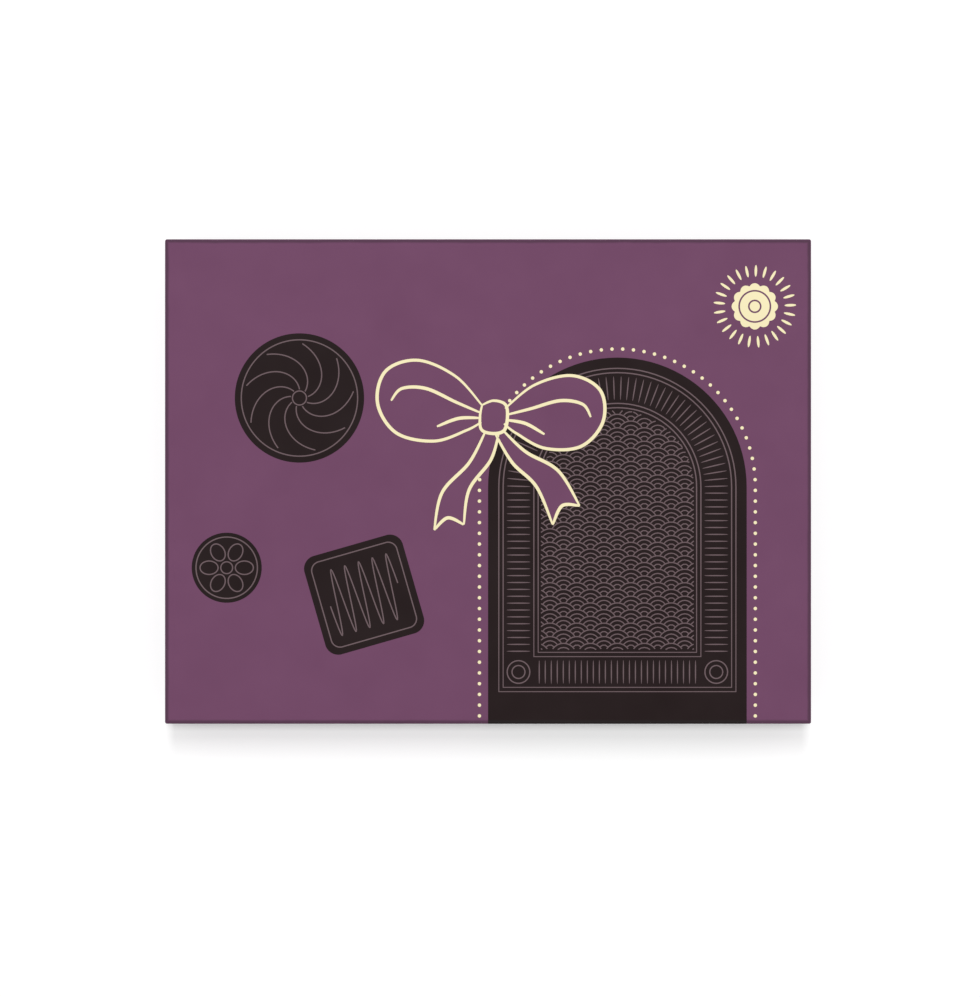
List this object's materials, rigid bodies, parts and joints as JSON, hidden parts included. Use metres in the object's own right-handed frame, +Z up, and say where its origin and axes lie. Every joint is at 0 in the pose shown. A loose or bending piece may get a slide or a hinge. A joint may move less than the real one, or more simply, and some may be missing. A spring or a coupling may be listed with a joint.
{
  "type": "box of chocolates",
  "caption": "Flat rectangular gift box: a lift-off lid over a shallow paper-wrapped base that holds moulded chocolates in a formed tray under a quilted pad.",
  "frame": {"origin": "middle of the underside, on the surface that the box lies on", "axes": "+X along the longer side, to the right in the picture; +Y along the shorter side, up in the picture; +Z up out of the lid"},
  "size_m": [0.24, 0.18, 0.0275],
  "materials": {
    "lid_paper": "satin",
    "base_paper": "satin",
    "liner_paper": "matte",
    "greyboard": "matte",
    "stay_tape": "matte",
    "pad_paper": "satin",
    "tray_plastic": "gloss",
    "milk_chocolate": "satin",
    "dark_chocolate": "satin",
    "white_chocolate": "satin",
    "cocoa_powder": "matte",
    "hazelnut": "matte",
    "almond": "matte"
  },
  "bodies": {
    "base": {"bottom_sheet": "base_paper", "base_wrap": "base_paper", "base_floor_board": "greyboard", "base_back_board": "greyboard", "base_left_board": "greyboard", "base_front_board": "greyboard", "base_right_board": "greyboard", "base_stay_front_left": "stay_tape", "base_stay_front_right": "stay_tape", "base_stay_back_left": "stay_tape", "base_stay_back_right": "stay_tape", "base_liner": "liner_paper"},
    "tray": {"insert_tray": "tray_plastic", "swirl_dome_1": "milk_chocolate", "swirl_dome_2": "milk_chocolate", "swirl_dome_3": "milk_chocolate", "drizzle_square_1": "dark_chocolate", "drizzle_square_2": "dark_chocolate", "drizzle_square_3": "dark_chocolate", "cocoa_truffle_1": "cocoa_powder", "cocoa_truffle_2": "cocoa_powder", "cocoa_truffle_3": "cocoa_powder", "heart_1": "white_chocolate", "heart_2": "white_chocolate", "heart_3": "white_chocolate", "fluted_cup_1": "milk_chocolate", "fluted_cup_2": "milk_chocolate", "fluted_cup_3": "milk_chocolate", "hazelnut_1": "hazelnut", "hazelnut_2": "hazelnut", "hazelnut_3": "hazelnut", "striped_oval_1": "dark_chocolate", "striped_oval_2": "dark_chocolate", "striped_oval_3": "dark_chocolate", "almond_bar_1": "milk_chocolate", "almond_bar_2": "milk_chocolate", "almond_bar_3": "milk_chocolate", "almond_1": "almond", "almond_2": "almond", "almond_3": "almond", "cut_gem_1": "dark_chocolate", "cut_gem_2": "dark_chocolate", "cut_gem_3": "dark_chocolate"},
    "pad": {"cushion_pad": "pad_paper"},
    "lid": {"lid_wrap": "lid_paper", "lid_top_board": "greyboard", "lid_back_board": "greyboard", "lid_left_board": "greyboard", "lid_front_board": "greyboard", "lid_right_board": "greyboard", "lid_stay_front_left": "stay_tape", "lid_stay_front_right": "stay_tape", "lid_stay_back_left": "stay_tape", "lid_stay_back_right": "stay_tape", "lid_liner": "liner_paper"}
  },
  "joints": [
    {"name": "tray_lift", "type": "slide", "parent": "base", "child": "tray", "axis": [0, 0, 1], "range_m": [0, 0.08]},
    {"name": "pad_lift", "type": "slide", "parent": "tray", "child": "pad", "axis": [0, 0, 1], "range_m": [0, 0.12]},
    {"name": "lid_lift", "type": "slide", "parent": "pad", "child": "lid", "axis": [0, 0, 1], "range_m": [0, 0.15]}
  ]
}
